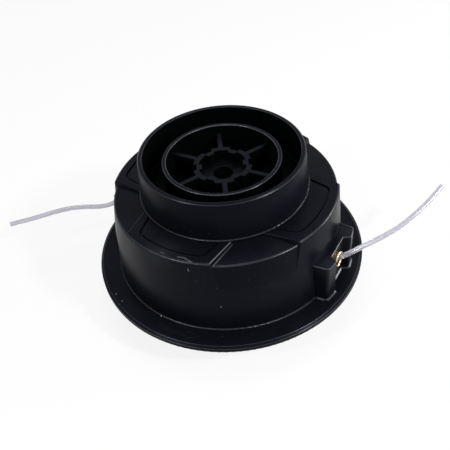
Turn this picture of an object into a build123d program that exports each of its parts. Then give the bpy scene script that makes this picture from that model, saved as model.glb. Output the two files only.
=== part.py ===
from build123d import *
import os
from math import asin, cos, degrees, radians, tan

# A bump-feed trimmer head: a moulded drum on a wide brim, with a line spool on a spring inside.
# It stands on its bump knob. Millimetres, +Z up along the drive shaft, origin on the ground.

# Brim, drum and collar
brim_radius = 65.0
flange_thickness = 1.7
cover_thickness = 1.5
knob_drop = 14.0
drum_foot_radius = 54.9
drum_top_radius = 52.2
drum_height = 37.8
drum_wall = 2.4
ceiling_thickness = 3.0
collar_foot_radius = 38.6
collar_height = 18.15
collar_wall = 2.2
rim_radius = 37.15
rim_chamfer = 0.6
rim_inner_chamfer = 0.4
brim_bevel = 1.2
brim_bevel_drop = 0.8
seam_chamfer = 0.25

# Rounded edges of the mouldings
shoulder_round = 1.1
foot_round = 0.8
small_round = 0.5

# Panels and lower facets of the shoulder, four of each
panel_margin = 4.15
panel_side_near = 21.4
panel_side_far = 12.3
panel_recess = 0.35
panel_corner = 4.0
groove_width = 0.9
groove_depth = 1.0
facet_apex = 32.7
facet_spread = 51.5
facet_inner_drop = 1.2
facet_outer_drop = 2.0
facet_bevel = 0.3
facet_lean = 14.0
facet_wall_cut = 0.9
facet_wall_run = 12.0

# Socket for the gearbox: ring, six ribs and the six-toothed hub
ring_radius = 26.85
ring_wall = 2.0
ring_height = 14.5
hub_height = 10.0
hub_tooth_radius = 13.3
hub_gap_radius = 11.7
hub_wall = 2.4
hub_tooth_half_angle = 20.0
socket_depth = 4.6
socket_floor = 10.4
shaft_hole_radius = 4.5
rib_thickness = 2.1
rib_turn = 4.0
teeth = 6

# Nut in the hub and the post that the spool runs on
nut_across_flats = 13.0
nut_height = 6.5
thread_minor_radius = 3.32
nut_clearance = 0.02
post_wall = 1.4
post_bore_clearance = 0.1

# Eyelets and the bosses that carry them
eyelet_height = 12.2
eyelet_bore_radius = 2.9
eyelet_barrel_radius = 3.6
eyelet_flange_radius = 4.3
eyelet_flange = 1.3
eyelet_lip = 0.6
eyelet_clearance = 0.02
boss_radius = 60.0
boss_height = 20.0
boss_half_width = 14.6
boss_flare = 0.9
boss_round = 1.6
cheek_round = 1.0
seat_distance = 56.3
notch_half_width = 6.5
notch_mouth_half_width = 8.4

# Spool and its step by step release
travel = 5.0
lug_gap = 0.4
cover_lug_height = 3.1
housing_lug_height = 3.9
lug_width = 4.4
lug_ramp = 1.2
lug_touch_gap = 0.5
upper_lug_lead = 19.0
lower_lug_radius = 29.4
upper_lug_radius = 33.0
lug_length = 5.0
spool_radius = 47.5
spool_flange = 1.4
core_radius = 22.0
core_wall = 2.5
web_height = 7.0
web_thickness = 3.0
guide_wall = 2.1
running_clearance = 0.08
anchor_slot = 3.2
anchor_depth = 12.0
parking_slot = 2.1
parking_depth = 5.0

# Spring and thrust washer
washer_thickness = 1.2
washer_clearance = 0.3
thrust_gap = 0.05
wire_diameter = 1.8
spring_turns = 4.5
closed_pitch = 1.85
points_per_turn = 8
spring_cup_wall = 1.5
spring_cup_depth = 2.0
spring_cup_clearance = 0.4

# Bump knob and its screw
knob_radius = 25.2
knob_taper = 1.0
knob_wall = 2.4
knob_floor = 3.0
knob_base_radius = 19.0
knob_heel = 7.0
knob_boss_radius = 8.0
knob_boss_seat = 6.0
flutes = 12
flute_radius = 3.0
flute_depth = 1.1
flute_height = 11.0
screw_radius = 1.95
screw_length = 14.0
screw_head_radius = 4.0
screw_head_height = 2.8
screw_recess_radius = 6.0
screw_seat = 8.0
screw_clearance = 0.05
screw_boss_radius = 5.0
cross_width = 1.1
cross_length = 4.6
cross_depth = 1.5

# Bottom cover: hole for the knob, ribs and snap hooks
cover_hole_clearance = 0.8
hole_ring_wall = 1.8
hole_ring_height = 2.4
cover_ribs = 12
cover_rib_thickness = 1.6
cover_rib_height = 0.9
spigot_clearance = 0.3
spigot_wall = 1.6
hook_height = 6.0
hook_barb = 0.9
hook_barb_height = 2.0
hook_half_angle = 9.0
hook_count = 4

# Line: wound turns on the spool and the two tails that leave the eyelets
line_diameter = 2.4
line_layers = 6
winding_clearance = 0.05
right_tail_route = [
    (49.4, -1.2, 30.0), (53.3, -0.7, 30.3), (57.4, 0.2, 30.8), (60.5, 3.8, 31.4), (64.7, 10.4, 31.8),
    (70.1, 19.4, 31.7), (74.7, 28.9, 31.2), (78.1, 39.6, 30.8), (81.1, 51.3, 30.3), (82.9, 61.0, 29.9),
    (84.1, 68.7, 29.7),
]
left_tail_route = [
    (-49.4, 1.2, 29.6), (-53.3, 0.7, 29.5), (-57.4, -0.2, 29.2), (-60.8, -4.2, 28.6), (-64.0, -10.9, 26.8),
    (-69.7, -15.1, 26.1), (-75.9, -18.4, 26.6), (-81.8, -23.0, 27.2), (-86.9, -28.4, 27.4),
    (-91.6, -34.3, 27.4), (-96.5, -40.0, 27.2), (-99.9, -43.3, 27.1), (-103.0, -46.7, 27.0),
]

# Heights above the ground, bottom to top
flange_bottom = knob_drop + cover_thickness
flange_top = flange_bottom + flange_thickness
shoulder_z = flange_top + drum_height
ceiling_z = shoulder_z - ceiling_thickness
rim_z = shoulder_z + collar_height
ring_z = shoulder_z + ring_height
hub_z = shoulder_z + hub_height
socket_floor_z = hub_z - socket_depth
nut_top = socket_floor_z - socket_floor
nut_bottom = nut_top - nut_height
eyelet_z = flange_top + eyelet_height
spool_bottom = flange_bottom + cover_lug_height + lug_gap
housing_lug_z = ceiling_z - housing_lug_height
spool_top = housing_lug_z - travel - lug_gap
chamber = (spool_top - spool_bottom - 3 * spool_flange) / 2
web_top = spool_bottom + web_height
web_bottom = web_top - web_thickness
post_end = web_top + travel + lug_gap
washer_bottom = web_top + thrust_gap
washer_top = washer_bottom + washer_thickness
knob_boss_top = screw_seat + knob_boss_seat

# Radii that follow from the pieces inside one another
nut_corner_radius = nut_across_flats / 2 / cos(radians(30))
post_bore_radius = nut_corner_radius + post_bore_clearance
post_radius = post_bore_radius + post_wall
guide_bore_radius = post_radius + running_clearance
guide_radius = guide_bore_radius + guide_wall
core_bore_radius = core_radius - core_wall
washer_inner_radius = guide_radius + washer_clearance
washer_outer_radius = core_bore_radius - washer_clearance
spring_radius = (washer_inner_radius + washer_outer_radius) / 2
spring_cup_radius = spring_radius + wire_diameter / 2 + spring_cup_clearance
cover_hole_radius = knob_radius + cover_hole_clearance
panel_outer_radius = drum_top_radius - panel_margin
coil_radius = core_radius + winding_clearance + line_layers * line_diameter

far = 2 * brim_radius


def drum_radius(z):
    """Outer radius of the tapered drum wall at height z."""
    share = (z - flange_top) / drum_height
    return drum_foot_radius + (drum_top_radius - drum_foot_radius) * share


def collar_radius(z):
    """Outer radius of the tapered collar at height z."""
    share = (z - shoulder_z) / collar_height
    return collar_foot_radius + (rim_radius - collar_foot_radius) * share


def turned(*corners):
    """Solid of revolution about Z. A corner is (radius, height), with a fillet as a third number."""
    section = make_face(Polyline(*[corner[:2] for corner in corners], close=True))
    for corner in corners:
        if len(corner) == 3:
            nearest = section.vertices().sort_by_distance((corner[0], corner[1], 0))[0]
            section = fillet(nearest, corner[2])
    return revolve(Plane.XZ * section, Axis.Z)


def disc(radius, bottom, top):
    """Upright cylinder on the axis between two heights."""
    return Pos(0, 0, bottom) * extrude(Circle(radius), top - bottom)


def tube(outer, inner, bottom, top):
    """Upright ring on the axis between two heights."""
    return Pos(0, 0, bottom) * extrude(Circle(outer) - Circle(inner), top - bottom)


def wedge(half_angle):
    """Flat sector about +X that reaches past the brim."""
    spread = far * tan(radians(half_angle))
    return Polygon((0, 0), (far, -spread), (far, spread), align=None)


def around(count, turn=0.0):
    """Turns about Z for a pattern of equal steps, the first at the given angle."""
    return [Rot(0, 0, turn + step * 360 / count) for step in range(count)]


def lug(inner, height, ramp_side):
    """Index lug on +X from z 0: one steep side, and a ramp on the side given by its sign."""
    half = lug_width / 2
    steep = -ramp_side * half
    slanted = ramp_side * half
    crest = ramp_side * (half - lug_ramp)
    side = make_face(Polyline((steep, 0), (slanted, 0), (crest, height), (steep, height), close=True))
    return Pos(inner, 0, 0) * extrude(Plane.YZ * side, lug_length)


def lug_angle(inner):
    """Angle between two lugs of this width that just touch at their inner corners."""
    return 2 * degrees(asin(lug_width / 2 / inner))


def toothed(tooth_radius, gap_radius):
    """Six-toothed outline of the hub wall."""
    tooth = Circle(tooth_radius) & wedge(hub_tooth_half_angle)
    outline = Circle(gap_radius) + [turn * tooth for turn in around(teeth)]
    return fillet(outline.vertices(), small_round)


def panel(inset):
    """Outline of one shoulder panel on +X, drawn in by the inset at its sides and outer edge."""
    near, reach = collar_foot_radius / 2, brim_radius
    sides = Polygon((near, panel_side_near - inset), (reach, panel_side_far - inset),
                    (reach, inset - panel_side_far), (near, inset - panel_side_near), align=None)
    outline = (Circle(panel_outer_radius - inset) & sides) - Circle(collar_foot_radius + foot_round)
    corners = outline.vertices().sort_by_distance((panel_outer_radius, 0, 0))[:2]
    return fillet(corners, panel_corner - inset)


def facet_cutter():
    """Cutter for one lower facet of the shoulder on +X: a step with a broken edge down to a sloping floor
    with a rounded outer edge, then a flat that runs out down the drum between sides that lean in."""
    reach = far - facet_apex
    spread = reach * tan(radians(facet_spread))
    plan = Polygon((facet_apex, 0), (far, -spread), (far, spread), align=None)
    inner = collar_foot_radius + small_round
    outer = max(drum_foot_radius, drum_top_radius) + drum_wall
    wall_z = shoulder_z - facet_outer_drop - facet_wall_run
    room = turned((inner, shoulder_z - facet_inner_drop),
                  (drum_top_radius - facet_wall_cut, shoulder_z - facet_outer_drop, shoulder_round),
                  (drum_radius(wall_z), wall_z), (outer, wall_z), (outer, shoulder_z + drum_wall),
                  (inner, shoulder_z + drum_wall))
    above = extrude(plan, drum_wall)
    bevel = extrude(plan, facet_bevel, dir=(0, 0, -1), taper=45)
    below = extrude(offset(plan, -facet_bevel, kind=Kind.INTERSECTION), drum_height / 2, dir=(0, 0, -1),
                    taper=facet_lean)
    return room & (Pos(0, 0, shoulder_z) * (above + bevel + Pos(0, 0, -facet_bevel) * below))


def boss():
    """Boss on +X with a notch down its face, where the eyelet sits, and a bevelled foot on the brim."""
    inner = drum_top_radius - 2 * drum_wall
    flank = boss_half_width + boss_flare
    block = Polygon((inner, -flank), (boss_radius, -boss_half_width), (boss_radius, boss_half_width),
                    (inner, flank), align=None)
    notch = Polygon((seat_distance, -notch_half_width), (boss_radius, -notch_mouth_half_width),
                    (boss_radius, notch_mouth_half_width), (seat_distance, notch_half_width), align=None)
    outline = (block & Circle(boss_radius)) - notch
    outline = fillet(outline.vertices().group_by(Axis.X)[-2], boss_round)
    outline = fillet(outline.vertices().group_by(Axis.X)[-1], cheek_round)
    root = flange_thickness / 2
    solid = Pos(0, 0, flange_top - root) * extrude(outline, boss_height + root)
    solid = fillet(solid.faces().sort_by(Axis.Z)[-1].edges(), small_round)
    foot = extrude(offset(outline, foot_round), foot_round, taper=45)
    return solid + Pos(0, 0, flange_top) * foot


def housing():
    """Drum, brim, collar, gearbox socket and spool post, moulded as one piece."""
    outer = turned((0, flange_bottom), (brim_radius, flange_bottom, seam_chamfer),
                   (brim_radius, flange_top - brim_bevel_drop), (brim_radius - brim_bevel, flange_top),
                   (drum_foot_radius, flange_top, foot_round), (drum_top_radius, shoulder_z, shoulder_round),
                   (collar_foot_radius, shoulder_z, small_round),
                   (collar_radius(rim_z - rim_chamfer), rim_z - rim_chamfer),
                   (rim_radius - rim_chamfer, rim_z), (0, rim_z))
    outer += [turn * boss() for turn in around(2)]
    outer -= [turn * facet_cutter() for turn in around(4, 45)]
    recess = extrude(panel(0), shoulder_round)
    groove = extrude(panel(0) - panel(groove_width), groove_depth)
    outer -= [turn * Pos(0, 0, shoulder_z - panel_recess) * recess for turn in around(4)]
    outer -= [turn * Pos(0, 0, shoulder_z - groove_depth) * groove for turn in around(4)]

    cavity = turned((0, flange_bottom - drum_wall), (drum_foot_radius - drum_wall, flange_bottom - drum_wall),
                    (drum_foot_radius - drum_wall, flange_top),
                    (drum_top_radius - drum_wall, ceiling_z, shoulder_round), (0, ceiling_z))
    mouth = rim_radius - collar_wall
    well = turned((0, shoulder_z), (collar_foot_radius - collar_wall, shoulder_z, foot_round),
                  (mouth, rim_z - rim_inner_chamfer), (mouth + rim_inner_chamfer, rim_z),
                  (mouth + rim_inner_chamfer, rim_z + collar_wall), (0, rim_z + collar_wall))
    hook_room = tube(drum_foot_radius - drum_wall + hook_barb + spigot_clearance, post_radius,
                     flange_bottom + hook_height - hook_barb_height - spigot_clearance,
                     flange_bottom + hook_height + spigot_clearance)
    body = outer - cavity - well - hook_room

    inside = ceiling_z + ceiling_thickness / 2
    ring = turned((ring_radius - ring_wall, inside), (ring_radius, inside),
                  (ring_radius, ring_z, small_round), (ring_radius - ring_wall, ring_z, small_round))
    rib = Box(ring_radius - ring_wall / 2 - hub_gap_radius, rib_thickness, hub_z - inside,
              align=(Align.MIN, Align.CENTER, Align.MIN))
    ribs = [turn * Pos(hub_gap_radius, 0, inside) * rib for turn in around(teeth, rib_turn)]
    hub = Pos(0, 0, inside) * extrude(toothed(hub_tooth_radius, hub_gap_radius), hub_z - inside)
    socket = extrude(toothed(hub_tooth_radius - hub_wall, hub_gap_radius - hub_wall), socket_depth)
    hub -= Pos(0, 0, socket_floor_z) * socket
    post = disc(post_radius, post_end, inside)
    cup = tube(spring_cup_radius + spring_cup_wall, spring_cup_radius, ceiling_z - spring_cup_depth, inside)
    stops = lug_angle(upper_lug_radius) + upper_lug_lead
    lugs = [turn * Pos(0, 0, inside) * lug(upper_lug_radius, housing_lug_z - inside, 1)
            for turn in around(teeth, stops)]
    body += [ring, *ribs, Rot(0, 0, rib_turn) * hub, post, cup, *lugs]

    pocket = RegularPolygon(nut_across_flats / 2 + nut_clearance, 6, major_radius=False)
    body -= Pos(0, 0, nut_bottom) * extrude(pocket, nut_height)
    body -= disc(post_bore_radius, post_end - drum_wall, nut_bottom)
    body -= disc(shaft_hole_radius, nut_bottom, hub_z)
    bore = extrude(Plane.YZ * Circle(eyelet_barrel_radius + eyelet_clearance), brim_radius)
    body -= [turn * (Pos(core_radius, 0, eyelet_z) * bore) for turn in around(2)]
    return body


def cover():
    """Bottom cover: the lower half of the brim, snapped into the drum by four hooks."""
    wall = drum_foot_radius - drum_wall - spigot_clearance
    hole_ring = cover_hole_radius + hole_ring_wall
    plate = turned((cover_hole_radius, knob_drop, small_round), (brim_radius, knob_drop, small_round),
                   (brim_radius, flange_bottom, seam_chamfer), (hole_ring, flange_bottom, small_round),
                   (hole_ring, flange_bottom + hole_ring_height),
                   (cover_hole_radius, flange_bottom + hole_ring_height, small_round))
    hook_top = flange_bottom + hook_height
    barb_z = hook_top - hook_barb_height
    inside = flange_bottom - cover_thickness / 2
    band = turned((wall - spigot_wall, inside), (wall, inside), (wall, barb_z), (wall + hook_barb, barb_z),
                  (wall, hook_top), (wall - spigot_wall, hook_top))
    sector = Pos(0, 0, inside) * extrude(wedge(hook_half_angle), hook_top - inside)
    spigot = tube(wall, wall - spigot_wall, inside, flange_bottom + flange_thickness)
    lug_top = Pos(0, 0, inside) * lug(lower_lug_radius, cover_lug_height + flange_bottom - inside, 1)
    first_lug = lug_angle(lower_lug_radius) + lug_touch_gap
    rib = Box(brim_radius - hole_ring - 4 * spigot_wall, cover_rib_thickness,
              cover_rib_height + cover_thickness / 2, align=(Align.MIN, Align.CENTER, Align.MIN))
    rib = Pos(hole_ring + spigot_wall, 0, knob_drop - cover_rib_height) * rib
    body = plate + spigot
    body += [turn * (band & sector) for turn in around(hook_count, 45)]
    body += [turn * lug_top for turn in around(teeth, first_lug)]
    body += [turn * rib for turn in around(cover_ribs)]
    return body


def eyelet():
    """Brass eyelet on +X: a flanged bush with rolled lips at both mouths."""
    inner = drum_radius(eyelet_z) - drum_wall - eyelet_lip
    outer = seat_distance + eyelet_flange
    bore, barrel, flange = eyelet_bore_radius, eyelet_barrel_radius, eyelet_flange_radius
    lip = eyelet_lip
    section = make_face(Polyline((inner, bore), (outer, bore), (outer, flange), (seat_distance, flange),
                                 (seat_distance, barrel), (inner, barrel), close=True))
    for place, size in (((inner, bore), lip), ((outer, bore), lip), ((outer, flange), lip * 0.9)):
        section = fillet(section.vertices().sort_by_distance((*place, 0))[0], size)
    return Pos(0, 0, eyelet_z) * revolve(Plane.XZ * section, Axis.X)


def arbor_nut():
    """Hexagon nut that takes the gearbox shaft."""
    blank = extrude(RegularPolygon(nut_across_flats / 2, 6, major_radius=False), nut_height)
    bevel = turned((0, -nut_height), (nut_corner_radius - small_round, 0), (nut_corner_radius, small_round),
                   (nut_corner_radius, nut_height - small_round),
                   (nut_corner_radius - small_round, nut_height), (0, 2 * nut_height))
    nut = (blank & bevel) - extrude(Circle(thread_minor_radius), nut_height)
    circles = nut.edges().filter_by(GeomType.CIRCLE)
    rims = circles.filter_by(lambda edge: abs(edge.radius - thread_minor_radius) < 0.01)
    return Pos(0, 0, nut_bottom) * chamfer(rims, small_round)


def spool():
    """Two-chamber line spool with index lugs above and below, running on the post."""
    middle = spool_bottom + spool_flange + chamber
    upper = middle + spool_flange
    body = tube(core_radius, core_bore_radius, spool_bottom, spool_top)
    for bottom in (spool_bottom, middle, upper + chamber):
        body += turned((core_radius - core_wall / 2, bottom), (spool_radius, bottom, spool_flange / 3),
                       (spool_radius, bottom + spool_flange, spool_flange / 3),
                       (core_radius - core_wall / 2, bottom + spool_flange))
    body += disc(core_radius - core_wall / 2, web_bottom, web_top)
    body += tube(guide_radius, guide_bore_radius, web_top - web_thickness / 2, spool_top)
    body += disc(screw_boss_radius, knob_boss_top, web_top - web_thickness / 2)
    body -= disc(screw_radius + screw_clearance, knob_boss_top, screw_seat + screw_length + lug_gap)

    upper_lug = lug(upper_lug_radius, ceiling_z - travel - lug_gap - spool_top + spool_flange / 2, -1)
    lower_lug = lug(lower_lug_radius, flange_bottom + lug_gap - spool_bottom - spool_flange / 2, -1)
    for turn in around(teeth):
        body += turn * Pos(0, 0, spool_top - spool_flange / 2) * upper_lug
        body += turn * Pos(0, 0, spool_bottom + spool_flange / 2) * lower_lug

    anchor = Box(anchor_depth, anchor_slot, spool_flange, align=(Align.MAX, Align.CENTER, Align.MIN))
    parking = Box(parking_depth, parking_slot, spool_flange, align=(Align.MAX, Align.CENTER, Align.MIN))
    body -= [turn * Pos(spool_radius, 0, middle) * anchor for turn in around(2, 30)]
    body -= [turn * Pos(spool_radius, 0, upper + chamber) * parking for turn in around(2, 90)]
    body -= [turn * Pos(spool_radius, 0, spool_bottom) * parking for turn in around(2, 90)]
    return body


def line_coil(bottom):
    """Line wound in one chamber, its outer turns showing as ridges."""
    turns = int((chamber - 2 * winding_clearance) / line_diameter)
    radius = line_diameter / 2
    start = bottom + (chamber - turns * line_diameter) / 2
    inner = core_radius + winding_clearance
    ridge = coil_radius - radius
    edges = [Line((inner, start), (ridge, start))]
    for step in range(turns):
        low = start + step * line_diameter
        edges.append(ThreePointArc((ridge, low), (coil_radius, low + radius), (ridge, low + line_diameter)))
    top = start + turns * line_diameter
    edges += [Line((ridge, top), (inner, top)), Line((inner, top), (inner, start))]
    return revolve(Plane.XZ * make_face(Curve() + edges), Axis.Z)


def thrust_washer():
    """Flat steel washer between the spring and the spool, so that the spring doesn't wind up."""
    return tube(washer_outer_radius, washer_inner_radius, washer_bottom, washer_top)


def spring():
    """Compression spring with a closed turn at each end, from the thrust washer to the drum's ceiling."""
    low = washer_top + wire_diameter / 2
    height = ceiling_z - washer_top - wire_diameter
    open_pitch = (height - 2 * closed_pitch) / spring_turns
    route = []
    for step in range(int((spring_turns + 2) * points_per_turn) + 1):
        turn = step / points_per_turn
        closed = min(turn, 1) + max(turn - spring_turns - 1, 0)
        rise = closed * closed_pitch + (turn - closed) * open_pitch
        route.append(Vector(spring_radius, 0, low + rise).rotate(Axis.Z, 360 * turn))
    path = Spline(*route)
    section = Plane(origin=path @ 0, z_dir=path % 0) * Circle(wire_diameter / 2)
    return sweep(section, path=path, is_frenet=True)


def bump_knob():
    """Hollow knob under the spool that is tapped on the ground, fluted for winding by hand."""
    low_radius = knob_radius - knob_taper
    hole = screw_radius + screw_clearance
    body = turned((screw_recess_radius, 0, small_round), (knob_base_radius, 0, 2 * small_round),
                  (low_radius, knob_heel, knob_heel / 3), (knob_radius, spool_bottom),
                  (knob_radius - knob_wall, spool_bottom), (low_radius - knob_wall, knob_floor + knob_heel),
                  (knob_base_radius - knob_wall, knob_floor), (knob_boss_radius, knob_floor),
                  (knob_boss_radius, knob_boss_top), (hole, knob_boss_top), (hole, screw_seat),
                  (screw_recess_radius, screw_seat))
    flute = Cylinder(flute_radius, 2 * flute_height, align=(Align.CENTER, Align.CENTER, Align.CENTER))
    flute = Pos(low_radius - flute_depth + flute_radius, 0, 0) * flute
    flute += Pos(low_radius - flute_depth + flute_radius, 0, flute_height) * Sphere(flute_radius)
    body -= [turn * flute for turn in around(flutes)]
    return body


def knob_screw():
    """Pan-head screw with a cross recess that holds the knob to the spool."""
    under = screw_seat - screw_head_height
    body = turned((0, under), (screw_head_radius, under, screw_head_height / 3),
                  (screw_head_radius, screw_seat),
                  (screw_radius, screw_seat), (screw_radius, screw_seat + screw_length - screw_radius),
                  (screw_radius / 3, screw_seat + screw_length), (0, screw_seat + screw_length))
    bar = Box(cross_length, cross_width, 2 * cross_depth)
    body -= Pos(0, 0, under) * (bar + Rot(0, 0, 90) * bar)
    return body


def line_tail(name, route):
    """Line outside the spool: straight runs joined by arcs as large as the runs allow."""
    points = [Vector(*point) for point in route]
    runs = [after - before for before, after in zip(points, points[1:])]
    radii = []
    for run, following in zip(runs, runs[1:]):
        half_turn = radians(run.get_angle(following)) / 2
        radii.append(0.45 * min(run.length, following.length) / tan(half_turn))
    path = FilletPolyline(*points, radius=radii)
    tail = sweep(Plane(origin=path @ 0, z_dir=path % 0) * Circle(line_diameter / 2), path=path)
    print(name, "length", round(path.length, 1), "tightest bend", round(min(radii), 1))
    return tail


pieces = {
    "housing": housing(),
    "cover": cover(),
    "eyelet_right": eyelet(),
    "eyelet_left": Rot(0, 0, 180) * eyelet(),
    "arbor_nut": arbor_nut(),
    "spring": spring(),
    "thrust_washer": thrust_washer(),
    "spool": spool(),
    "line_coil_lower": line_coil(spool_bottom + spool_flange),
    "line_coil_upper": line_coil(spool_bottom + 2 * spool_flange + chamber),
    "bump_knob": bump_knob(),
    "knob_screw": knob_screw(),
    "line_tail_right": line_tail("line_tail_right", right_tail_route),
    "line_tail_left": line_tail("line_tail_left", left_tail_route),
}

os.makedirs("parts", exist_ok=True)
for name, piece in pieces.items():
    export_step(piece, f"parts/{name}.step")
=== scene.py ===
from math import cos, pi, radians, sin

import bpy
import numpy as np
from mathutils import Matrix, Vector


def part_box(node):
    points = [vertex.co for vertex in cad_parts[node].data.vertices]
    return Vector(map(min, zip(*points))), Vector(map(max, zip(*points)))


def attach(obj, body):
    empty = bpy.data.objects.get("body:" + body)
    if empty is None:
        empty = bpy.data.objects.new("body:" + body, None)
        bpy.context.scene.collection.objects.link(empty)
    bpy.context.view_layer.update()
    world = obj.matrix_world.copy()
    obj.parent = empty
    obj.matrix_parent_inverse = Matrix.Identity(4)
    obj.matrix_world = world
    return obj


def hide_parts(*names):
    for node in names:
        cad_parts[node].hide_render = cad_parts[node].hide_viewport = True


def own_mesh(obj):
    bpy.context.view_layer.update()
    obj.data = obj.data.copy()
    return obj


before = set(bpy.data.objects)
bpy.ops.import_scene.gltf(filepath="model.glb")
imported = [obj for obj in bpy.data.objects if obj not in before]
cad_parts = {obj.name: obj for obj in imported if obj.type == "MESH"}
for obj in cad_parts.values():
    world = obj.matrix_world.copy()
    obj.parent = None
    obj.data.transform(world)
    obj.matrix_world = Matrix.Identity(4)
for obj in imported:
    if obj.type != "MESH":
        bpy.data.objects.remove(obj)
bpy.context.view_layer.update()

# Line tails. Two ends of extruded round nylon line come off the spool, leave through the brass
# eyelets and end where they were cut. The nylon is milky, and stays bent as it was wound.
MM = 0.001
line_diameter = 2.4 * MM
right_tail_route = [
    (49.4, -1.2, 30.0), (53.3, -0.7, 30.3), (57.4, 0.2, 30.8), (60.5, 3.8, 31.4), (64.7, 10.4, 31.8),
    (70.1, 19.4, 31.7), (74.7, 28.9, 31.2), (78.1, 39.6, 30.8), (81.1, 51.3, 30.3), (82.9, 61.0, 29.9),
    (84.1, 68.7, 29.7),
]
left_tail_route = [
    (-49.4, 1.2, 29.6), (-53.3, 0.7, 29.5), (-57.4, -0.2, 29.2), (-60.8, -4.2, 28.6), (-64.0, -10.9, 26.8),
    (-69.7, -15.1, 26.1), (-75.9, -18.4, 26.6), (-81.8, -23.0, 27.2), (-86.9, -28.4, 27.4),
    (-91.6, -34.3, 27.4), (-96.5, -40.0, 27.2), (-99.9, -43.3, 27.1), (-103.0, -46.7, 27.0),
]


def place(kind, tree, **values):
    """Adds a node to a tree. A value's name is an attribute of the node or one of its input sockets."""
    node = tree.nodes.new(kind)
    for name, value in values.items():
        if hasattr(node, name):
            setattr(node, name, value)
        else:
            node.inputs[name.replace("_", " ")].default_value = value
    return node


def blank_material(name):
    """A material with only a Principled shader and its output. Returns the material, tree and shader."""
    material = bpy.data.materials.new(name)
    material.use_nodes = True
    tree = material.node_tree
    tree.nodes.clear()
    shader = place("ShaderNodeBsdfPrincipled", tree)
    output = place("ShaderNodeOutputMaterial", tree)
    tree.links.new(shader.outputs["BSDF"], output.inputs["Surface"])
    return material, tree, shader


def milky_nylon(name, pale, shaded, see_through):
    """Natural nylon line: cloudy patches a few millimetres long, and fine draw marks in the skin."""
    nylon_index = 1.53
    cloud_scale, skin_scale = 160.0, 1500.0
    smoothest, roughest = 0.12, 0.30
    skin_depth = 0.05 * MM
    material, tree, shader = blank_material(name)
    shader.inputs["IOR"].default_value = nylon_index
    shader.inputs["Transmission Weight"].default_value = see_through
    where = place("ShaderNodeTexCoord", tree)
    cloud = place("ShaderNodeTexNoise", tree, Scale=cloud_scale, Detail=3.0)
    skin = place("ShaderNodeTexNoise", tree, Scale=skin_scale, Detail=2.0)
    tint = place("ShaderNodeMix", tree, data_type="RGBA")
    tint.inputs["A"].default_value = (*shaded, 1)
    tint.inputs["B"].default_value = (*pale, 1)
    gloss = place("ShaderNodeMapRange", tree, To_Min=smoothest, To_Max=roughest)
    bump = place("ShaderNodeBump", tree, Strength=0.15, Distance=skin_depth)
    for noise in (cloud, skin):
        tree.links.new(where.outputs["Object"], noise.inputs["Vector"])
    tree.links.new(cloud.outputs["Fac"], tint.inputs["Factor"])
    tree.links.new(tint.outputs["Result"], shader.inputs["Base Color"])
    tree.links.new(skin.outputs["Fac"], gloss.inputs["Value"])
    tree.links.new(gloss.outputs["Result"], shader.inputs["Roughness"])
    tree.links.new(skin.outputs["Fac"], bump.inputs["Height"])
    tree.links.new(bump.outputs["Normal"], shader.inputs["Normal"])
    return material


def line_tail(name, node, route, material):
    """Round line on a quadratic spline that has the route's points as its control points."""
    points = np.array(route) * MM
    curve = bpy.data.curves.new(name, "CURVE")
    curve.dimensions = "3D"
    curve.bevel_depth = line_diameter / 2
    curve.bevel_resolution = 6
    curve.use_fill_caps = True
    spline = curve.splines.new("NURBS")
    spline.points.add(len(route) - 1)
    spline.points.foreach_set("co", np.column_stack([points, np.ones(len(route))]).ravel())
    spline.order_u = 3
    spline.use_endpoint_u = True
    spline.resolution_u = 12
    curve.materials.append(material)
    tail = bpy.data.objects.new(name, curve)
    bpy.context.collection.objects.link(tail)
    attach(tail, "head")
    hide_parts(node)


tail_nylon = milky_nylon("tail_nylon", pale=(0.58, 0.57, 0.65), shaded=(0.50, 0.495, 0.57), see_through=0.8)
line_tail("right_tail", "line_tail_right", right_tail_route, tail_nylon)
line_tail("left_tail", "line_tail_left", left_tail_route, tail_nylon)


# Housing. Brim, drum, shoulder, collar and drive hub are one injection moulding in black filled
# nylon. The tool leaves a fine grain, handling leaves dust and a few pale scuffs. Its edges carry painted
# highlights, and the inside of its collar and drive socket painted shade.
def new_group(name, places, values, output):
    """An empty shader node group with the named vector and number inputs and one output. Returns it with
    its two ends."""
    group = bpy.data.node_groups.new(name, "ShaderNodeTree")
    for labels, kind in ((places, "NodeSocketVector"), (values, "NodeSocketFloat")):
        for label in labels:
            group.interface.new_socket(label, in_out="INPUT", socket_type=kind)
    group.interface.new_socket(output, in_out="OUTPUT", socket_type="NodeSocketFloat")
    return group, place("NodeGroupInput", group), place("NodeGroupOutput", group)


def chain(tree, operation, *terms):
    """One Math node. A term is a number or the output socket of another node."""
    node = place("ShaderNodeMath", tree, operation=operation)
    for socket, term in zip(node.inputs, terms):
        if isinstance(term, (int, float)):
            socket.default_value = term
        else:
            tree.links.new(term, socket)
    return node.outputs["Value"]


def vectors(tree, operation, first, second):
    """One Vector Math node between the output sockets of two other nodes."""
    node = place("ShaderNodeVectorMath", tree, operation=operation)
    tree.links.new(first, node.inputs[0])
    tree.links.new(second, node.inputs[1])
    return node.outputs["Value" if operation in ("DOT_PRODUCT", "DISTANCE") else "Vector"]


def clipped(tree, term):
    """The term, held between nothing and one."""
    return chain(tree, "MINIMUM", chain(tree, "MAXIMUM", term, 0.0), 1.0)


def around_axis(group, entry):
    """The coordinates of a group's Vector input, and their distance from the axis of the head."""
    split = place("ShaderNodeSeparateXYZ", group)
    group.links.new(entry.outputs["Vector"], split.inputs["Vector"])
    across = chain(group, "MULTIPLY", split.outputs["X"], split.outputs["X"])
    squared = chain(group, "MULTIPLY_ADD", split.outputs["Y"], split.outputs["Y"], across)
    return split, chain(group, "SQRT", squared)


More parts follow.
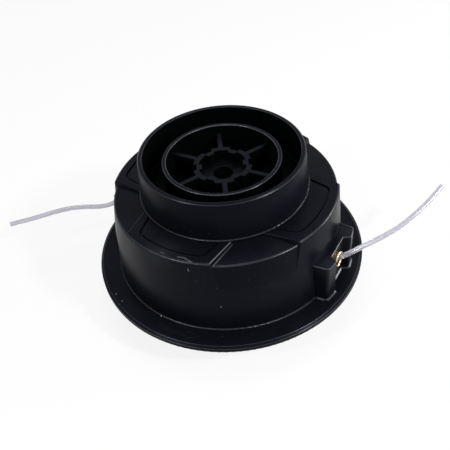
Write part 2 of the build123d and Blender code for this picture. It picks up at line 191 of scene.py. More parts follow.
def grain_group():
    """Height of a spark-eroded mould surface: fine noise, with a coarser noise that lifts patches of it."""
    coarser, lift = 0.3, 0.6
    group, entry, leave = new_group("mould_grain", ["Vector"], ["Fineness"], "Height")
    fine = place("ShaderNodeTexNoise", group, Detail=2.0)
    coarse = place("ShaderNodeTexNoise", group, Detail=1.0)
    group.links.new(entry.outputs["Vector"], fine.inputs["Vector"])
    group.links.new(entry.outputs["Vector"], coarse.inputs["Vector"])
    group.links.new(entry.outputs["Fineness"], fine.inputs["Scale"])
    group.links.new(chain(group, "MULTIPLY", entry.outputs["Fineness"], coarser), coarse.inputs["Scale"])
    total = chain(group, "MULTIPLY_ADD", coarse.outputs["Fac"], lift, fine.outputs["Fac"])
    group.links.new(total, leave.inputs["Height"])
    return group


def edge_ring_mark_group():
    """Mask of a rounded edge that runs round the axis, greyed by wear or with a painted highlight: highest on
    the circle of the given radius and height, and fading to nothing at the given width from it. On the circle
    it goes from one strength at the two sides, to the camera's left and right, to another towards and away
    from the camera, with the square of the cosine from the sides, so that painted highlights sit where the
    lamps glint."""
    group, entry, leave = new_group("edge_wear_and_highlight", ["Vector"], ["Radius", "Height", "Width", "Sides", "Front"],
                                    "Mask")
    split, radius = around_axis(group, entry)
    out = chain(group, "SUBTRACT", radius, entry.outputs["Radius"])
    rise = chain(group, "SUBTRACT", split.outputs["Z"], entry.outputs["Height"])
    squared = chain(group, "MULTIPLY_ADD", rise, rise, chain(group, "MULTIPLY", out, out))
    distance = chain(group, "SQRT", squared)
    near = chain(group, "SUBTRACT", 1.0, chain(group, "DIVIDE", distance, entry.outputs["Width"]))
    sideways = chain(group, "MULTIPLY", split.outputs["X"], cos(camera_side))
    sideways = chain(group, "MULTIPLY_ADD", split.outputs["Y"], sin(camera_side), sideways)
    share = chain(group, "POWER", chain(group, "ABSOLUTE", chain(group, "DIVIDE", sideways, radius)), 2.0)
    more = chain(group, "SUBTRACT", entry.outputs["Sides"], entry.outputs["Front"])
    strength = chain(group, "MULTIPLY_ADD", share, more, entry.outputs["Front"])
    worn_or_lit = chain(group, "MULTIPLY", chain(group, "MAXIMUM", near, 0.0), strength)
    group.links.new(worn_or_lit, leave.inputs["Mask"])
    return group


def line_group():
    """Mask of a straight edge: full on the segment between two points, and fading to nothing at the given
    width from it."""
    group, entry, leave = new_group("edge_line", ["Vector", "Start", "End"], ["Width"], "Mask")
    reach = vectors(group, "SUBTRACT", entry.outputs["End"], entry.outputs["Start"])
    offset = vectors(group, "SUBTRACT", entry.outputs["Vector"], entry.outputs["Start"])
    share = chain(group, "DIVIDE", vectors(group, "DOT_PRODUCT", offset, reach),
                  vectors(group, "DOT_PRODUCT", reach, reach))
    foot = vectors(group, "MULTIPLY", reach, clipped(group, share))
    distance = vectors(group, "DISTANCE", offset, foot)
    near = chain(group, "SUBTRACT", 1.0, chain(group, "DIVIDE", distance, entry.outputs["Width"]))
    group.links.new(chain(group, "MAXIMUM", near, 0.0), leave.inputs["Mask"])
    return group


def socket_shade_group():
    """Mask of painted shade inside a socket: within the given radius, what lies below the given
    height and every wall above it, so that only the faces that look up stay unshaded."""
    steepest_unshaded = 0.5
    group, entry, leave = new_group("socket_painted_shade", ["Vector"], ["Up", "Radius", "Top"], "Mask")
    split, radius = around_axis(group, entry)
    inside = chain(group, "LESS_THAN", radius, entry.outputs["Radius"])
    below = chain(group, "LESS_THAN", split.outputs["Z"], entry.outputs["Top"])
    wall = chain(group, "LESS_THAN", entry.outputs["Up"], steepest_unshaded)
    in_painted_shade = chain(group, "MULTIPLY", inside, chain(group, "MAXIMUM", below, wall))
    group.links.new(in_painted_shade, leave.inputs["Mask"])
    return group


def edge_highlight_group():
    """Mask of a painted highlight on every sharp edge and corner: how far the normal, averaged over the given
    width, leans from the surface's own normal."""
    least_lean, steepness = 0.97, 5.0
    group, entry, leave = new_group("sharp_edge", [], ["Width"], "Mask")
    averaged = place("ShaderNodeBevel", group, samples=6)
    group.links.new(entry.outputs["Width"], averaged.inputs["Radius"])
    surface = place("ShaderNodeNewGeometry", group)
    agree = vectors(group, "DOT_PRODUCT", averaged.outputs["Normal"], surface.outputs["Normal"])
    lean = chain(group, "MULTIPLY", chain(group, "SUBTRACT", least_lean, agree), steepness)
    group.links.new(clipped(group, lean), leave.inputs["Mask"])
    return group


def dust_group():
    """Mask of dust: a thin uneven film where the surface faces up, and crumbs and fine specks on every
    side. Each cell of a Voronoi texture holds one, with a radius that is the largest one times a high power
    of a random number, so that few are big."""
    film_strength = 0.04
    crumbs = (85.0, 9.0, 0.055)
    fine_specks = (650.0, 4.0, 0.11)
    group, entry, leave = new_group("settled_dust", ["Vector"], ["Up"], "Mask")
    film = place("ShaderNodeTexNoise", group, Scale=55.0, Detail=5.0, Roughness=0.7)
    group.links.new(entry.outputs["Vector"], film.inputs["Vector"])
    thick = place("ShaderNodeMapRange", group, From_Min=0.45, From_Max=0.8)
    group.links.new(film.outputs["Fac"], thick.inputs["Value"])
    facing_up = chain(group, "MAXIMUM", entry.outputs["Up"], 0.0)
    settled = chain(group, "MULTIPLY", thick.outputs["Result"], facing_up)
    total = chain(group, "MULTIPLY", settled, film_strength)
    for cells, power, largest in (crumbs, fine_specks):
        specks = place("ShaderNodeTexVoronoi", group, Scale=cells)
        group.links.new(entry.outputs["Vector"], specks.inputs["Vector"])
        chosen = place("ShaderNodeSeparateColor", group)
        group.links.new(specks.outputs["Color"], chosen.inputs["Color"])
        size = chain(group, "MULTIPLY", chain(group, "POWER", chosen.outputs["Red"], power), largest)
        total = chain(group, "ADD", total, chain(group, "LESS_THAN", specks.outputs["Distance"], size))
    group.links.new(total, leave.inputs["Mask"])
    return group


def scuff_and_sheen_group():
    """Mask of a scuffed patch or of a painted highlight, fading to nothing at the given reach from a centre:
    streaks along one direction, or an even haze where the given streakiness is nothing."""
    streak_turn = (radians(20), radians(12), radians(35))
    streak_scale = (160, 160, 1700)
    group, entry, leave = new_group("scuff_and_sheen", ["Vector", "Centre"], ["Reach", "Streaks"], "Mask")
    offset = vectors(group, "DISTANCE", entry.outputs["Vector"], entry.outputs["Centre"])
    near = chain(group, "SUBTRACT", 1.0, chain(group, "DIVIDE", offset, entry.outputs["Reach"]))
    lean = place("ShaderNodeMapping", group, Rotation=streak_turn, Scale=streak_scale)
    streaks = place("ShaderNodeTexNoise", group, Scale=1.0, Detail=3.0)
    group.links.new(entry.outputs["Vector"], lean.inputs["Vector"])
    group.links.new(lean.outputs["Vector"], streaks.inputs["Vector"])
    thin = place("ShaderNodeMapRange", group, From_Min=0.56, From_Max=0.7)
    group.links.new(streaks.outputs["Fac"], thin.inputs["Value"])
    even = chain(group, "SUBTRACT", 1.0, entry.outputs["Streaks"])
    marks = chain(group, "MULTIPLY_ADD", thin.outputs["Result"], entry.outputs["Streaks"], even)
    scuffed = chain(group, "MULTIPLY", chain(group, "MAXIMUM", near, 0.0), marks)
    group.links.new(scuffed, leave.inputs["Mask"])
    return group


def speck_group():
    """Mask of one crumb of dust: full near its centre, and gone at one and a half times the given size."""
    gone_at, falloff = 1.5, 2.0
    group, entry, leave = new_group("speck", ["Vector", "Centre"], ["Size"], "Mask")
    offset = vectors(group, "DISTANCE", entry.outputs["Vector"], entry.outputs["Centre"])
    share = chain(group, "DIVIDE", offset, entry.outputs["Size"])
    edge = chain(group, "MULTIPLY", chain(group, "SUBTRACT", gone_at, share), falloff)
    group.links.new(clipped(group, edge), leave.inputs["Mask"])
    return group


# The sides of the edge rims lie along the camera's right, so their painted highlights follow the camera.
camera_side = radians(34.0)
mould_grain, edge_wear_and_highlight, edge_line, sharp_edge = grain_group(), edge_ring_mark_group(), line_group(), edge_highlight_group()
socket_painted_shade, settled_dust, scuff_and_sheen, speck = socket_shade_group(), dust_group(), scuff_and_sheen_group(), speck_group()
dust_grey = (0.20, 0.20, 0.21)
# Grey painted on edges: painted highlight on sharp edges and on the housing's rims, boss and step lines; wear
# on the other rims and the nick lines.
highlight_and_wear_grey = (0.085, 0.088, 0.105)
# Near black, painted as shade inside the collar and the drive socket.
painted_shade_black = (0.0012, 0.0016, 0.0016)
greyed_loss = 0.75
plastic_specular = 0.042
plastic_tint = (0.70, 0.76, 1.0, 1)
burnished_roughness = 0.3
edge_highlight_width = 0.15
darkest, lightest = 0.75, 1.25
grain_fineness, grain_depth = 2600.0, 0.06


def black_moulding(name, colour, gloss, rims, lines=(), scuffs_and_sheens=(), specks=(), painted_shade_socket=None, edge_highlight_strength=1.0,
                   dust=0.3, burnish=0.0):
    """Moulded black plastic. rims lists (radius, height, width, strength at the sides and in front) of round
    edges that are greyed by wear or carry a painted highlight, lines (start, end, width, strength, whether
    all four quarters have it) of straight ones, scuffs_and_sheens (centre, reach, strength, streaks) of
    scuffed patches and of even hazes of painted highlight, and specks (centre, size). painted_shade_socket is
    the radius and the top of a socket that is painted with shade. All lengths are in millimetres. gloss is
    the range of roughness, edge_highlight_strength the strength of the painted highlight on every sharp edge,
    and burnish how far the marked edges get a gloss coat instead of painted grey."""
    material, tree, shader = blank_material(name)
    shader.inputs["Specular IOR Level"].default_value = plastic_specular
    shader.inputs["Specular Tint"].default_value = plastic_tint
    shader.inputs["Coat Roughness"].default_value = burnished_roughness
    where = place("ShaderNodeTexCoord", tree)
    side = place("ShaderNodeSeparateXYZ", tree)
    tree.links.new(where.outputs["Normal"], side.inputs["Vector"])

    def placed(group):
        node = place("ShaderNodeGroup", tree, node_tree=group)
        tree.links.new(where.outputs["Object"], node.inputs["Vector"])
        return node

    # Edge marks: painted highlight on every sharp edge, then rims and lines that are painted highlight or
    # wear, then scuffs and hazes. They lay a gloss coat and paint grey.
    sharp_highlight = place("ShaderNodeGroup", tree, node_tree=sharp_edge, Width=edge_highlight_width * MM)
    wear_and_highlight = chain(tree, "MULTIPLY", sharp_highlight.outputs["Mask"], edge_highlight_strength)
    for radius, height, width, sides, front in rims:
        ring_mark = placed(edge_wear_and_highlight)
        for label, value in (("Radius", radius), ("Height", height), ("Width", width)):
            ring_mark.inputs[label].default_value = value * MM
        ring_mark.inputs["Sides"].default_value = sides
        ring_mark.inputs["Front"].default_value = front
        wear_and_highlight = chain(tree, "MAXIMUM", wear_and_highlight, ring_mark.outputs["Mask"])
    quarter = place("ShaderNodeVectorMath", tree, operation="ABSOLUTE")
    tree.links.new(where.outputs["Object"], quarter.inputs["Vector"])
    for start, end, width, strength, mirrored in lines:
        edge = place("ShaderNodeGroup", tree, node_tree=edge_line, Width=width * MM)
        edge.inputs["Start"].default_value = np.array(start) * MM
        edge.inputs["End"].default_value = np.array(end) * MM
        spot = quarter.outputs["Vector"] if mirrored else where.outputs["Object"]
        tree.links.new(spot, edge.inputs["Vector"])
        wear_and_highlight = chain(tree, "MAXIMUM", wear_and_highlight, chain(tree, "MULTIPLY", edge.outputs["Mask"], strength))
    patches = place("ShaderNodeTexNoise", tree, Scale=140.0, Detail=4.0, Roughness=0.65)
    tree.links.new(where.outputs["Object"], patches.inputs["Vector"])
    broken = place("ShaderNodeMapRange", tree, From_Min=0.3, From_Max=0.65, To_Min=0.55)
    tree.links.new(patches.outputs["Fac"], broken.inputs["Value"])
    edges = chain(tree, "MULTIPLY", wear_and_highlight, broken.outputs["Result"])
    polished = chain(tree, "MULTIPLY", chain(tree, "MINIMUM", edges, 1.0), burnish)
    tree.links.new(polished, shader.inputs["Coat Weight"])
    wear_and_highlight = chain(tree, "MULTIPLY", edges, 1.0 - greyed_loss * burnish)
    for centre, reach, strength, streaks in scuffs_and_sheens:
        mark = placed(scuff_and_sheen)
        mark.inputs["Streaks"].default_value = streaks
        mark.inputs["Centre"].default_value = np.array(centre) * MM
        mark.inputs["Reach"].default_value = reach * MM
        wear_and_highlight = chain(tree, "MULTIPLY_ADD", mark.outputs["Mask"], strength, wear_and_highlight)
    film = placed(settled_dust)
    tree.links.new(side.outputs["Z"], film.inputs["Up"])
    mottle = place("ShaderNodeTexNoise", tree, Scale=38.0, Detail=4.0)
    tree.links.new(where.outputs["Object"], mottle.inputs["Vector"])

    base = place("ShaderNodeMix", tree, data_type="RGBA")
    base.inputs["A"].default_value = (*(darkest * np.array(colour)), 1)
    base.inputs["B"].default_value = (*(lightest * np.array(colour)), 1)
    # Grey painted where the edge marks are, as painted highlight or wear.
    worn_or_lit = place("ShaderNodeMix", tree, data_type="RGBA")
    worn_or_lit.inputs["B"].default_value = (*highlight_and_wear_grey, 1)
    dusty = place("ShaderNodeMix", tree, data_type="RGBA")
    dusty.inputs["B"].default_value = (*dust_grey, 1)
    tree.links.new(mottle.outputs["Fac"], base.inputs["Factor"])
    tree.links.new(base.outputs["Result"], worn_or_lit.inputs["A"])
    tree.links.new(chain(tree, "MINIMUM", wear_and_highlight, 1.0), worn_or_lit.inputs["Factor"])
    tree.links.new(worn_or_lit.outputs["Result"], dusty.inputs["A"])
    dirt = chain(tree, "MULTIPLY", film.outputs["Mask"], dust)
    for centre, size in specks:
        crumb = placed(speck)
        crumb.inputs["Centre"].default_value = np.array(centre) * MM
        crumb.inputs["Size"].default_value = size * MM
        dirt = chain(tree, "MAXIMUM", dirt, crumb.outputs["Mask"])
    tree.links.new(dirt, dusty.inputs["Factor"])
    paint = dusty.outputs["Result"]
    # Painted shade: inside the socket, low faces and every wall are painted near black.
    if painted_shade_socket:
        in_painted_shade = placed(socket_painted_shade)
        tree.links.new(side.outputs["Z"], in_painted_shade.inputs["Up"])
        in_painted_shade.inputs["Radius"].default_value = painted_shade_socket[0] * MM
        in_painted_shade.inputs["Top"].default_value = painted_shade_socket[1] * MM
        black = place("ShaderNodeMix", tree, data_type="RGBA")
        black.inputs["B"].default_value = (*painted_shade_black, 1)
        tree.links.new(in_painted_shade.outputs["Mask"], black.inputs["Factor"])
        tree.links.new(paint, black.inputs["A"])
        paint = black.outputs["Result"]
    tree.links.new(paint, shader.inputs["Base Color"])

    satin = place("ShaderNodeMapRange", tree, From_Min=0.3, From_Max=0.7, To_Min=gloss[0], To_Max=gloss[1])
    tree.links.new(mottle.outputs["Fac"], satin.inputs["Value"])
    tree.links.new(satin.outputs["Result"], shader.inputs["Roughness"])
    grain = placed(mould_grain)
    grain.inputs["Fineness"].default_value = grain_fineness
    bump = place("ShaderNodeBump", tree, Strength=0.22, Distance=grain_depth * MM)
    tree.links.new(grain.outputs["Height"], bump.inputs["Height"])
    tree.links.new(bump.outputs["Normal"], shader.inputs["Normal"])
    return material


def finish_node(name, material):
    """Gives a CAD node its finish."""
    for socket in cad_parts[name].material_slots:
        socket.material = material


housing_black = (0.0036, 0.0038, 0.0062)
boss_top, boss_foot = 37.05, 17.6
boss_top_edge = [(51.4, 15.05), (56.7, 14.65), (58.1, 14.0), (58.6, 12.7), (59.2, 9.2), (58.8, 8.0),
                 (56.15, 6.6), (56.15, 0)]
boss_foot_edge = [(54.2, 15.45), (56.8, 15.1), (58.4, 14.3), (59.0, 12.9), (59.6, 9.2), (59.1, 7.6),
                  (56.7, 6.2), (56.7, 0)]
# Painted highlights along the top and foot edges of the bosses, in all four quarters.
boss_edge_highlights = [((*start, boss_top), (*end, boss_top), 0.45, 0.9, True)
              for start, end in zip(boss_top_edge, boss_top_edge[1:])]
boss_edge_highlights += [((*start, boss_foot), (*end, boss_foot), 0.5, 0.8, True)
               for start, end in zip(boss_foot_edge, boss_foot_edge[1:])]
# Painted highlights along the shoulder's step edges, strongest on one front step.
step_edge_highlights = [((21.95, 33.2, 55.0), (20.45, 46.9, 54.9), 0.35, 0.5, True),
              ((22.8, 33.0, 53.75), (21.3, 46.5, 53.1), 0.35, 0.4, True),
              ((21.95, -33.2, 55.0), (20.45, -46.9, 54.9), 0.35, 3.4, False),
              ((22.8, -33.0, 53.75), (21.3, -46.5, 53.1), 0.35, 3.0, False)]
nick_lines = [((7.0, -49.6, 55.0), (9.4, -48.9, 55.0), 0.5, 1.8, False),
              ((9.4, -48.9, 55.0), (13.4, -49.6, 54.7), 0.6, 1.5, False),
              ((12.2, -51.0, 51.6), (12.4, -51.1, 50.6), 0.4, 2.0, False),
              ((-1.0, -50.3, 55.0), (0.5, -50.4, 55.0), 0.4, 1.0, False)]
# Housing: its rims and its boss and step lines are painted highlights, the nick lines are scuffs, and the
# inside of the collar gets painted shade.
finish_node("housing", black_moulding(
    "housing_nylon", housing_black, gloss=(0.27, 0.36), edge_highlight_strength=0.2, painted_shade_socket=(36.45, 64.6), burnish=1.0,
    rims=[(51.9, 54.8, 0.7, 0.5, 0.7), (51.0, 52.8, 0.6, 0.5, 0.7), (38.8, 55.2, 0.35, 0.5, 0.8),
          (55.1, 17.4, 0.4, 0.4, 0.8), (26.7, 69.4, 0.4, 1.2, 1.2), (25.0, 69.4, 0.4, 1.2, 1.2),
          (37.0, 72.8, 0.25, 0.8, 0.8), (35.2, 73.0, 0.2, 0.7, 0.8), (63.8, 17.2, 0.25, 0.3, 0.7),
          (65.0, 16.4, 0.25, 0.3, 0.7)],
    lines=boss_edge_highlights + step_edge_highlights + nick_lines,
    scuffs_and_sheens=[((40, -35, 38), 10, 0.12, 1.0), ((-1.2, -50.0, 54.5), 9, 0.10, 0.0),
            # Even hazes on the four boss tops: painted highlight that lightens the tops.
            ((56.5, -11.3, 37.2), 8, 0.13, 0.0), ((56.5, 11.3, 37.2), 8, 0.13, 0.0),
            ((-56.5, -11.3, 37.2), 8, 0.13, 0.0), ((-56.5, 11.3, 37.2), 8, 0.13, 0.0)],
    specks=[((-30.8, -54.1, 17.2), 0.26), ((-25.6, -56.2, 17.2), 0.2), ((-4.2, -55.3, 17.2), 0.28),
            ((24.1, -48.2, 31.1), 0.2), ((18.1, -32.3, 55.0), 0.35)]))


# Direction arrow. A plain curved arrow is moulded proud on the brim, and shows which way the head
# turns. It is part of the housing, so it has the same black nylon.
arrow_radius = 60.0
arrow_from, arrow_to = radians(-92), radians(-73)
arrow_shaft, arrow_head = 0.9, 2.3
arrow_proud = 0.35
arrow_sunk = 0.15
arrow_columns = 24
arrow_head_share = 0.3
arrow_tip = 0.05
arrow_top_share = 0.82
brim_top = 17.2


def grid_piece(name, points, material, body, round_u=False, round_v=False, flip=False):
    """A mesh over an array of points (rows along u, columns along v). Either way may close on itself.
    Where v is closed and u is open, the two end rows are capped with one face each."""
    rows, columns = points.shape[:2]
    number = np.arange(rows * columns).reshape(rows, columns)
    below = np.roll(number, -1, axis=0)
    edge_highlight_strength = np.stack([number, below, np.roll(below, -1, axis=1), np.roll(number, -1, axis=1)], axis=-1)
    edge_highlight_strength = edge_highlight_strength[:rows if round_u else rows - 1, :columns if round_v else columns - 1]
    faces = edge_highlight_strength.reshape(-1, 4).tolist()
    if round_v and not round_u:
        faces += [number[0].tolist(), number[-1, ::-1].tolist()]
    if flip:
        faces = [face[::-1] for face in faces]
    mesh = bpy.data.meshes.new(name)
    mesh.from_pydata((points.reshape(-1, 3) * MM).tolist(), [], faces)
    mesh.validate()
    mesh.materials.append(material)
    piece = bpy.data.objects.new(name, mesh)
    bpy.context.collection.objects.link(piece)
    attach(piece, body)
    return piece


def arrow_surface():
    """A low trapezium section carried along an arc. Its half width is the shaft's, then jumps to the
    head's and falls evenly to a point."""
    run = np.linspace(0, 1 - arrow_head_share, arrow_columns)
    taper = np.linspace(1 - arrow_head_share, 1, arrow_columns)
    share = np.concatenate([run, taper])
    half = np.concatenate([np.full(arrow_columns, arrow_shaft),
                           arrow_head * (1 - (taper - taper[0]) / arrow_head_share) + arrow_tip])
    angle = arrow_from + (arrow_to - arrow_from) * share
    across = np.array([-1.0, -arrow_top_share, arrow_top_share, 1.0])
    height = np.array([-arrow_sunk, arrow_proud, arrow_proud, -arrow_sunk])
    radius = arrow_radius + half[:, None] * across
    return np.stack([radius * np.cos(angle)[:, None], radius * np.sin(angle)[:, None],
                     brim_top + np.broadcast_to(height, radius.shape)], axis=-1)


arrow_nylon = black_moulding("arrow_nylon", housing_black, gloss=(0.34, 0.42), rims=[])
grid_piece("direction_arrow", arrow_surface(), arrow_nylon, "head", round_v=True)


# Bottom cover. The lower half of the brim is a second moulding, snapped into the drum by four hooks.
# It rides over the ground, so its under edge and ribs are more rubbed than the housing.
finish_node("cover", black_moulding(
    "cover_nylon", (0.0030, 0.0031, 0.0039), gloss=(0.38, 0.5),
    rims=[(64.8, 14.2, 1.2, 0.5, 0.5), (26.4, 14.2, 1.0, 0.5, 0.5), (45.0, 13.1, 14.0, 0.08, 0.08)],
    dust=0.5))


# Eyelets. Turned brass bushes with rolled lips, pushed into the bosses from outside, with a thin
# brown tarnish in patches.
def turned_metal(name, bright, dull, axis, gloss, tarnish):
    """Bare turned metal: fine rings along the turning axis, and a tarnish that gathers in patches."""
    along_axis, across_axis = 2400.0, 40.0
    ring_depth = 0.03 * MM
    material, tree, shader = blank_material(name)
    shader.inputs["Metallic"].default_value = 1.0
    where = place("ShaderNodeTexCoord", tree)
    stretch = place("ShaderNodeMapping", tree)
    stretch.inputs["Scale"].default_value = np.where(np.array(axis) > 0, along_axis, across_axis)
    rings = place("ShaderNodeTexNoise", tree, Scale=1.0, Detail=2.0)
    patches = place("ShaderNodeTexNoise", tree, Scale=260.0, Detail=4.0)
    tree.links.new(where.outputs["Object"], stretch.inputs["Vector"])
    tree.links.new(stretch.outputs["Vector"], rings.inputs["Vector"])
    tree.links.new(where.outputs["Object"], patches.inputs["Vector"])
    spread = place("ShaderNodeMapRange", tree, From_Min=0.4, From_Max=0.75, To_Max=tarnish)
    tree.links.new(patches.outputs["Fac"], spread.inputs["Value"])
    tint = place("ShaderNodeMix", tree, data_type="RGBA")
    tint.inputs["A"].default_value = (*bright, 1)
    tint.inputs["B"].default_value = (*dull, 1)
    tree.links.new(spread.outputs["Result"], tint.inputs["Factor"])
    tree.links.new(tint.outputs["Result"], shader.inputs["Base Color"])
    satin = place("ShaderNodeMapRange", tree, From_Min=0.3, From_Max=0.7, To_Min=gloss[0], To_Max=gloss[1])
    tree.links.new(rings.outputs["Fac"], satin.inputs["Value"])
    tree.links.new(satin.outputs["Result"], shader.inputs["Roughness"])
    bump = place("ShaderNodeBump", tree, Strength=0.12, Distance=ring_depth)
    tree.links.new(rings.outputs["Fac"], bump.inputs["Height"])
    tree.links.new(bump.outputs["Normal"], shader.inputs["Normal"])
    return material


brass = turned_metal("eyelet_brass", bright=(0.84, 0.65, 0.39), dull=(0.40, 0.26, 0.13), axis=(1, 0, 0),
                     gloss=(0.07, 0.15), tarnish=0.7)
finish_node("eyelet_right", brass)
finish_node("eyelet_left", brass)


# Arbor nut. A zinc-plated hexagon nut lies in a pocket under the hub and takes the gearbox shaft.
# Its thread is left-handed, as the head turns that way, and is cut here as a real helix.
nut_across_flats = 13.0
nut_chamfer = 0.5
thread_pitch = 1.25
thread_minor = 3.32
thread_depth = 0.62
nut_low, nut_high = np.array(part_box("arbor_nut"))[:, 2] / MM
nut_columns = 96
thread_rows = 80


def nut_surface():
    """Hexagon radius (half the flats over the cosine from the nearest flat), cut by a 45 degree cone at
    both ends, then over the top face, down the bore and back. The bore's radius is the minor radius
    plus a triangle wave of height less angle, which is a left-handed thread."""
    angle = np.linspace(0, 2 * pi, nut_columns, endpoint=False)
    corner = nut_across_flats / 2 / cos(pi / 6)
    hexagon = nut_across_flats / 2 / np.cos((angle + pi / 6) % (pi / 3) - pi / 6)
    side = np.concatenate([np.linspace(0, nut_chamfer, 6), np.linspace(0, nut_chamfer, 6)])
    side[6:] = nut_high - nut_low - side[11:5:-1]
    cone = corner - nut_chamfer + np.minimum(side, nut_high - nut_low - side)
    outside = np.minimum(hexagon, cone[:, None])
    bore = np.linspace(nut_high - nut_low, 0, thread_rows)
    phase = (bore[:, None] / thread_pitch + angle / (2 * pi)) % 1
    lead_in = np.clip(1 - np.minimum(bore, bore[::-1]) / nut_chamfer, 0, 1)[:, None] * thread_depth
    inside = thread_minor + np.maximum(thread_depth * (1 - np.abs(2 * phase - 1)), lead_in)
    radius = np.concatenate([outside, inside])
    height = np.broadcast_to(nut_low + np.concatenate([side, bore])[:, None], radius.shape)
    return np.stack([radius * np.cos(angle), radius * np.sin(angle), height], axis=-1)


zinc = turned_metal("plated_zinc", bright=(0.50, 0.50, 0.48), dull=(0.24, 0.23, 0.20), axis=(0, 0, 1),
                    gloss=(0.24, 0.4), tarnish=0.6)
nut = grid_piece("threaded_nut", nut_surface(), zinc, "head", round_u=True, round_v=True,
                 flip=True)
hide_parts("arbor_nut")


# Spring. Drawn steel wire, coiled with one closed turn at each end, stands on the thrust washer and
# presses against the drum's ceiling. It shortens when the knob is tapped.
wire_diameter = 1.8
spring_turns = 4.5
closed_pitch = 1.85
spring_low, spring_high = np.array(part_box("spring")) / MM
spring_radius = spring_high[0] - wire_diameter / 2
wire_rows, wire_columns = 420, 14


def spring_surface():
    """A circle carried up a helix. The pitch is the closed pitch in the first and the last turn, and what
    is left of the height is shared by the turns between."""
    low = spring_low[2] + wire_diameter / 2
    height = spring_high[2] - spring_low[2] - wire_diameter
    open_pitch = (height - 2 * closed_pitch) / spring_turns
    turn = np.linspace(0, spring_turns + 2, wire_rows)
    closed = np.minimum(turn, 1) + np.maximum(turn - spring_turns - 1, 0)
    rise = low + closed * closed_pitch + (turn - closed) * open_pitch
    section = np.linspace(0, 2 * pi, wire_columns, endpoint=False)
    radius = spring_radius + wire_diameter / 2 * np.cos(section)
    angle = 2 * pi * turn[:, None]
    return np.stack([radius * np.cos(angle), radius * np.sin(angle),
                     rise[:, None] + wire_diameter / 2 * np.sin(section)], axis=-1)


drawn_steel = turned_metal("drawn_steel", bright=(0.38, 0.38, 0.39), dull=(0.16, 0.14, 0.12), axis=(0, 0, 1),
                           gloss=(0.28, 0.42), tarnish=0.5)
spring = grid_piece("wire_spring", spring_surface(), drawn_steel, "head", round_v=True,
                    flip=True)
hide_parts("spring")
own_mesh(spring)


# Thrust washer. A flat stamped steel ring lets the spool turn under the spring. Zinc plated.
washer_zinc = turned_metal("washer_zinc", bright=(0.60, 0.60, 0.58), dull=(0.30, 0.28, 0.24), axis=(1, 1, 0),
                           gloss=(0.2, 0.36), tarnish=0.4)
finish_node("thrust_washer", washer_zinc)


# Spool. A dark grey two-chamber moulding that runs on the housing's post. Its flanges are polished by
# the line, and its lugs are rubbed where they index.
finish_node("spool", black_moulding(
    "spool_plastic", (0.035, 0.036, 0.040), gloss=(0.34, 0.44),
    rims=[(47.3, 20.0, 1.2, 1, 1), (47.3, 31.0, 1.2, 1, 1), (47.3, 42.0, 1.2, 1, 1), (31.9, 16.5, 2.5, 1, 1),
          (35.5, 46.0, 2.5, 1, 1)], dust=0.1))


# Wound line. Each chamber of the spool holds several metres of the same milky line, wound by hand in
# close turns. It is packed too thick to see through.
wound_nylon = milky_nylon("wound_nylon", pale=(0.88, 0.87, 0.92), shaded=(0.62, 0.61, 0.68), see_through=0.0)
finish_node("line_coil_lower", wound_nylon)
finish_node("line_coil_upper", wound_nylon)


# Bump knob. A fluted black moulding under the spool that is tapped on the ground to let line out, so
# its foot is scraped grey. A plated cross-head screw holds it.
finish_node("bump_knob", black_moulding(
    "knob_nylon", (0.0034, 0.0035, 0.0042), gloss=(0.36, 0.5),
    rims=[(18.5, 0.3, 3.0, 0.5, 0.5), (12.0, 0.0, 9.0, 0.2, 0.2), (24.0, 7.5, 3.0, 0.25, 0.25),
          (25.2, 19.0, 1.0, 0.5, 0.5)],
    scuffs_and_sheens=[((14, -10, 0), 10, 0.6, 1.0), ((-12, 12, 0), 9, 0.6, 1.0)], dust=0.5))
finish_node("knob_screw", zinc)


# Studio. A plain pale floor and a white surround, with a small softbox to the right and left of the
# camera, a low one on the right side and a wide one above. The camera stands where the photograph's did.
def studio_white(tree, level):
    """The given level for rays from the camera, in reflections and through clear pieces, and nothing for
    the rays that carry light."""
    rays = place("ShaderNodeLightPath", tree)
    seen = chain(tree, "MAXIMUM", rays.outputs["Is Camera Ray"], rays.outputs["Is Glossy Ray"])
    seen = chain(tree, "MAXIMUM", seen, rays.outputs["Is Transmission Ray"])
    return chain(tree, "MULTIPLY", seen, level)


floor_reach = 3.0
floor_grey = (0.82, 0.82, 0.82, 1)
floor_shadow_share = 0.16
world_level = 0.35

floor_mesh = bpy.data.meshes.new("floor")
floor_mesh.from_pydata([(-floor_reach, -floor_reach, 0), (floor_reach, -floor_reach, 0),
                        (floor_reach, floor_reach, 0), (-floor_reach, floor_reach, 0)], [], [(0, 1, 2, 3)])
floor = bpy.data.objects.new("floor", floor_mesh)
bpy.context.collection.objects.link(floor)
floor_paint = bpy.data.materials.new("floor_paint")
floor_paint.use_nodes = True
floor_tree = floor_paint.node_tree
floor_tree.nodes.clear()
matt = place("ShaderNodeBsdfDiffuse", floor_tree, Color=floor_grey)
glow = place("ShaderNodeEmission", floor_tree, Color=(1, 1, 1, 1), Strength=1.0)
blend = place("ShaderNodeMixShader", floor_tree)
floor_out = place("ShaderNodeOutputMaterial", floor_tree)
floor_tree.links.new(studio_white(floor_tree, 1 - floor_shadow_share), blend.inputs["Fac"])
floor_tree.links.new(matt.outputs["BSDF"], blend.inputs[1])
floor_tree.links.new(glow.outputs["Emission"], blend.inputs[2])
floor_tree.links.new(blend.outputs["Shader"], floor_out.inputs["Surface"])
floor_mesh.materials.append(floor_paint)

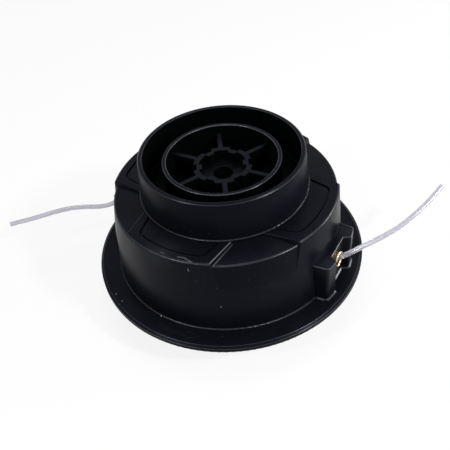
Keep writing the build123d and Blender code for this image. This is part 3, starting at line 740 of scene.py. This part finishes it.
world = bpy.data.worlds.new("studio")
world.use_nodes = True
bpy.context.scene.world = world
world_tree = world.node_tree
world_tree.nodes.clear()
sky = place("ShaderNodeBackground", world_tree, Color=(1, 1, 1, 1))
world_out = place("ShaderNodeOutputWorld", world_tree)
level = chain(world_tree, "ADD", studio_white(world_tree, 1 - world_level), world_level)
world_tree.links.new(level, sky.inputs["Strength"])
world_tree.links.new(sky.outputs["Background"], world_out.inputs["Surface"])

camera_azimuth, camera_elevation, camera_roll = radians(34.0), radians(42.68), radians(6.02)
camera_place = (0.11686, -0.17629, 0.2232)
camera_lens = 46.96
right = np.array([cos(camera_azimuth), sin(camera_azimuth), 0])
back = np.array([sin(camera_azimuth) * cos(camera_elevation), -cos(camera_azimuth) * cos(camera_elevation),
                 sin(camera_elevation)])
up = np.cross(back, right)
turn_right = cos(camera_roll) * right - sin(camera_roll) * up
turn_up = sin(camera_roll) * right + cos(camera_roll) * up

softbox_aim = (0, 0, 0.03)
softboxes = {
    "softbox_right": (0, 39, 0.80, 0.07, 4.0),
    "softbox_left": (-112, 39, 0.80, 0.07, 1.75),
    "softbox_side": (40, 6, 0.65, 0.16, 3.0),
    "softbox_above": (124, 74, 0.78, 0.40, 2.0),
}
for name, (azimuth, elevation, distance, size, power) in softboxes.items():
    turn, rise = radians(azimuth), radians(elevation)
    ahead = np.array([cos(rise) * cos(turn), cos(rise) * sin(turn), sin(rise)])
    position = distance * ahead + softbox_aim
    lamp = bpy.data.lights.new(name, "AREA")
    lamp.size = size
    lamp.energy = power
    softbox = bpy.data.objects.new(name, lamp)
    bpy.context.collection.objects.link(softbox)
    level_side = np.cross((0, 0, 1), ahead)
    level_side = level_side / np.linalg.norm(level_side)
    axes = np.column_stack([level_side, np.cross(ahead, level_side), ahead, position])
    softbox.matrix_world = Matrix([*axes.tolist(), [0, 0, 0, 1]])

lens = bpy.data.cameras.new("camera")
lens.lens = camera_lens
lens.sensor_width = 36.0
lens.clip_start = 0.01
camera = bpy.data.objects.new("camera", lens)
bpy.context.collection.objects.link(camera)
axes = np.column_stack([turn_right, turn_up, back, camera_place])
camera.matrix_world = Matrix([*axes.tolist(), [0, 0, 0, 1]])
bpy.context.scene.camera = camera
bpy.context.scene.view_settings.view_transform = "Standard"
